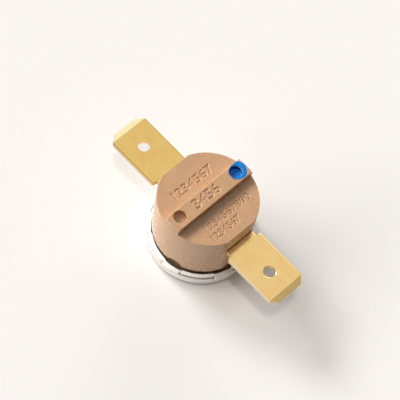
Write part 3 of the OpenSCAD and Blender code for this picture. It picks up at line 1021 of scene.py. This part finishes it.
class LIMITER_OT_add_switch(bpy.types.Operator):
    """Spring leaf with extra cuts near its root, and the finishes of the other inner pieces"""
    bl_idname = "limiter.add_switch"
    bl_label = "Add switch"

    def execute(self, context):
        c = settings().colours
        bm = copy_of("spring_arm")
        first_cut, cut_gap, cuts = LEAF_LOW.x + 2 * MM, 0.1 * MM, 12
        for i in range(cuts):
            bmesh.ops.bisect_plane(
                bm, geom=all_of(bm), plane_co=(first_cut + i * cut_gap, 0, 0), plane_no=(1, 0, 0)
            )
        leaf = as_object(bm, "spring_leaf")
        finished(leaf, rolled_finish("spring_bronze", c.bronze, 0.28, ALONG_X), None, ["spring_arm"])
        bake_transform(leaf)
        steel = rolled_finish("rolled_steel", c.steel, 0.3, ALONG_X)
        silver = rolled_finish("headed_silver", c.silver, 0.22, ALONG_Z)
        ceramic = ceramic_finish(c.ceramic)
        brass = rolled_finish("headed_brass", c.brass, 0.3, ALONG_Z)
        finishes = {
            "bimetal_disc": steel, "arm_washer": steel, "fixed_contact": silver, "moving_contact": silver,
            "guide_plate": ceramic, "transfer_pin": ceramic, "arm_rivet": brass,
        }
        for name, finish in finishes.items():
            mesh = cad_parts[name].data
            mesh.materials.clear()
            mesh.materials.append(finish)
        return {"FINISHED"}


# Stage

def camera_axes(stage):
    """Camera's right, up and back directions, from its azimuth, elevation and roll."""
    a, e = stage.turn, stage.height
    back = Vector((math.sin(a) * math.cos(e), -math.cos(a) * math.cos(e), math.sin(e)))
    level = Vector((math.cos(a), math.sin(a), 0))
    steep = back.cross(level)
    right = math.cos(stage.roll) * level - math.sin(stage.roll) * steep
    up = math.sin(stage.roll) * level + math.cos(stage.roll) * steep
    return right, up, back


def add_camera(stage):
    """Camera of the scene."""
    data = bpy.data.cameras.new("camera")
    data.lens = stage.lens
    data.shift_x, data.shift_y = stage.shift
    data.clip_start, data.clip_end = 1 * MM, 5000 * MM
    camera = put("camera", data)
    right, up, back = camera_axes(stage)
    turn = Matrix((right, up, back)).transposed().to_4x4()
    camera.matrix_world = Matrix.Translation(Vector(stage.aim) + back * stage.distance) @ turn
    bpy.context.scene.camera = camera


def add_lamps(stage):
    """Soft lamps, each far away in its own direction."""
    for name, turn, height, size, strength, colour in LAMPS:
        data = bpy.data.lights.new(name, "SUN")
        data.energy = stage.level * strength
        data.color = colour
        data.angle = math.radians(size)
        light = put(name, data)
        a, e = math.radians(turn), math.radians(height)
        towards = Vector((math.cos(a) * math.cos(e), math.sin(a) * math.cos(e), math.sin(e)))
        light.rotation_mode = "QUATERNION"
        light.rotation_quaternion = towards.to_track_quat("Z", "Y")


def add_surroundings(stage, colour):
    """White surroundings where they are seen, brighter at -X where they are mirrored, and a weak fill for all else."""
    world = bpy.data.worlds.new("surroundings")
    world.use_nodes = True
    bpy.context.scene.world = world
    tree = world.node_tree
    tree.nodes.clear()

    def sky(colour, strength):
        """Light of one colour from all round."""
        return node(tree, "ShaderNodeBackground", {"Color": (*colour, 1), "Strength": strength}).outputs[0]

    rays = node(tree, "ShaderNodeLightPath")
    towards = node(tree, "ShaderNodeTexCoord").outputs["Generated"]
    x = node(tree, "ShaderNodeSeparateXYZ", {"Vector": towards}).outputs["X"]
    side = band(tree, x, 0.05, 0.45, stage.mirrored[0], stage.mirrored[1])
    glare = band(tree, x, -0.45, -0.68, to_high=stage.glare)
    fill = sky((1, 0.97, 0.94), stage.fill)
    mirrored = sky((1, 0.99, 0.97), maths(tree, "ADD", side, glare))
    seen = maths(tree, "MAXIMUM", rays.outputs["Is Camera Ray"], rays.outputs["Is Transmission Ray"])
    unseen = both(tree, rays.outputs["Is Glossy Ray"], fill, mirrored)
    node(tree, "ShaderNodeOutputWorld", {"Surface": both(tree, seen, unseen, sky(colour, 1.0))})


def add_floor(stage, colour):
    """Plain floor, a little under the cup."""
    under = 0.02 * MM
    bm = bmesh.new()
    bmesh.ops.create_grid(bm, x_segments=4, y_segments=4, size=stage.floor_size / 2)
    floor = as_object(moved(bm, UP * -under), "floor")
    floor.data.materials.append(floor_finish(colour))


class LIMITER_OT_add_stage(bpy.types.Operator):
    """Camera, floor, lamps and surroundings"""
    bl_idname = "limiter.add_stage"
    bl_label = "Add stage"

    def execute(self, context):
        wanted = settings()
        add_camera(wanted.stage)
        add_lamps(wanted.stage)
        add_surroundings(wanted.stage, wanted.colours.floor)
        add_floor(wanted.stage, wanted.colours.floor)
        context.scene.view_settings.view_transform = "Standard"
        return {"FINISHED"}


class LIMITER_PT_panel(bpy.types.Panel):
    """Lists the limiter's operators"""
    bl_idname = "LIMITER_PT_panel"
    bl_label = "Temperature limiter"
    bl_space_type = "VIEW_3D"
    bl_region_type = "UI"
    bl_category = "Limiter"

    def draw(self, context):
        for operator in OPERATORS:
            self.layout.operator(operator.bl_idname)


OPERATORS = (
    LIMITER_OT_add_housing,
    LIMITER_OT_add_cup,
    LIMITER_OT_add_blades,
    LIMITER_OT_add_paint,
    LIMITER_OT_add_switch,
    LIMITER_OT_add_stage,
)
CLASSES = (
    LIMITER_PG_housing,
    LIMITER_PG_numerals,
    LIMITER_PG_cup,
    LIMITER_PG_paint,
    LIMITER_PG_blades,
    LIMITER_PG_colours,
    LIMITER_PG_stage,
    LIMITER_PG_settings,
    *OPERATORS,
    LIMITER_PT_panel,
)


def register():
    """Makes the settings, the operators and the panel known."""
    for each in CLASSES:
        bpy.utils.register_class(each)
    bpy.types.Scene.limiter = PointerProperty(type=LIMITER_PG_settings)


def unregister():
    """Takes them away again."""
    del bpy.types.Scene.limiter
    for each in reversed(CLASSES):
        bpy.utils.unregister_class(each)


def main():
    """Builds the whole scene."""
    register()
    bpy.ops.limiter.add_housing()
    bpy.ops.limiter.add_cup()
    bpy.ops.limiter.add_blades()
    bpy.ops.limiter.add_paint()
    bpy.ops.limiter.add_switch()
    bpy.ops.limiter.add_stage()


if __name__ == "__main__":
    main()
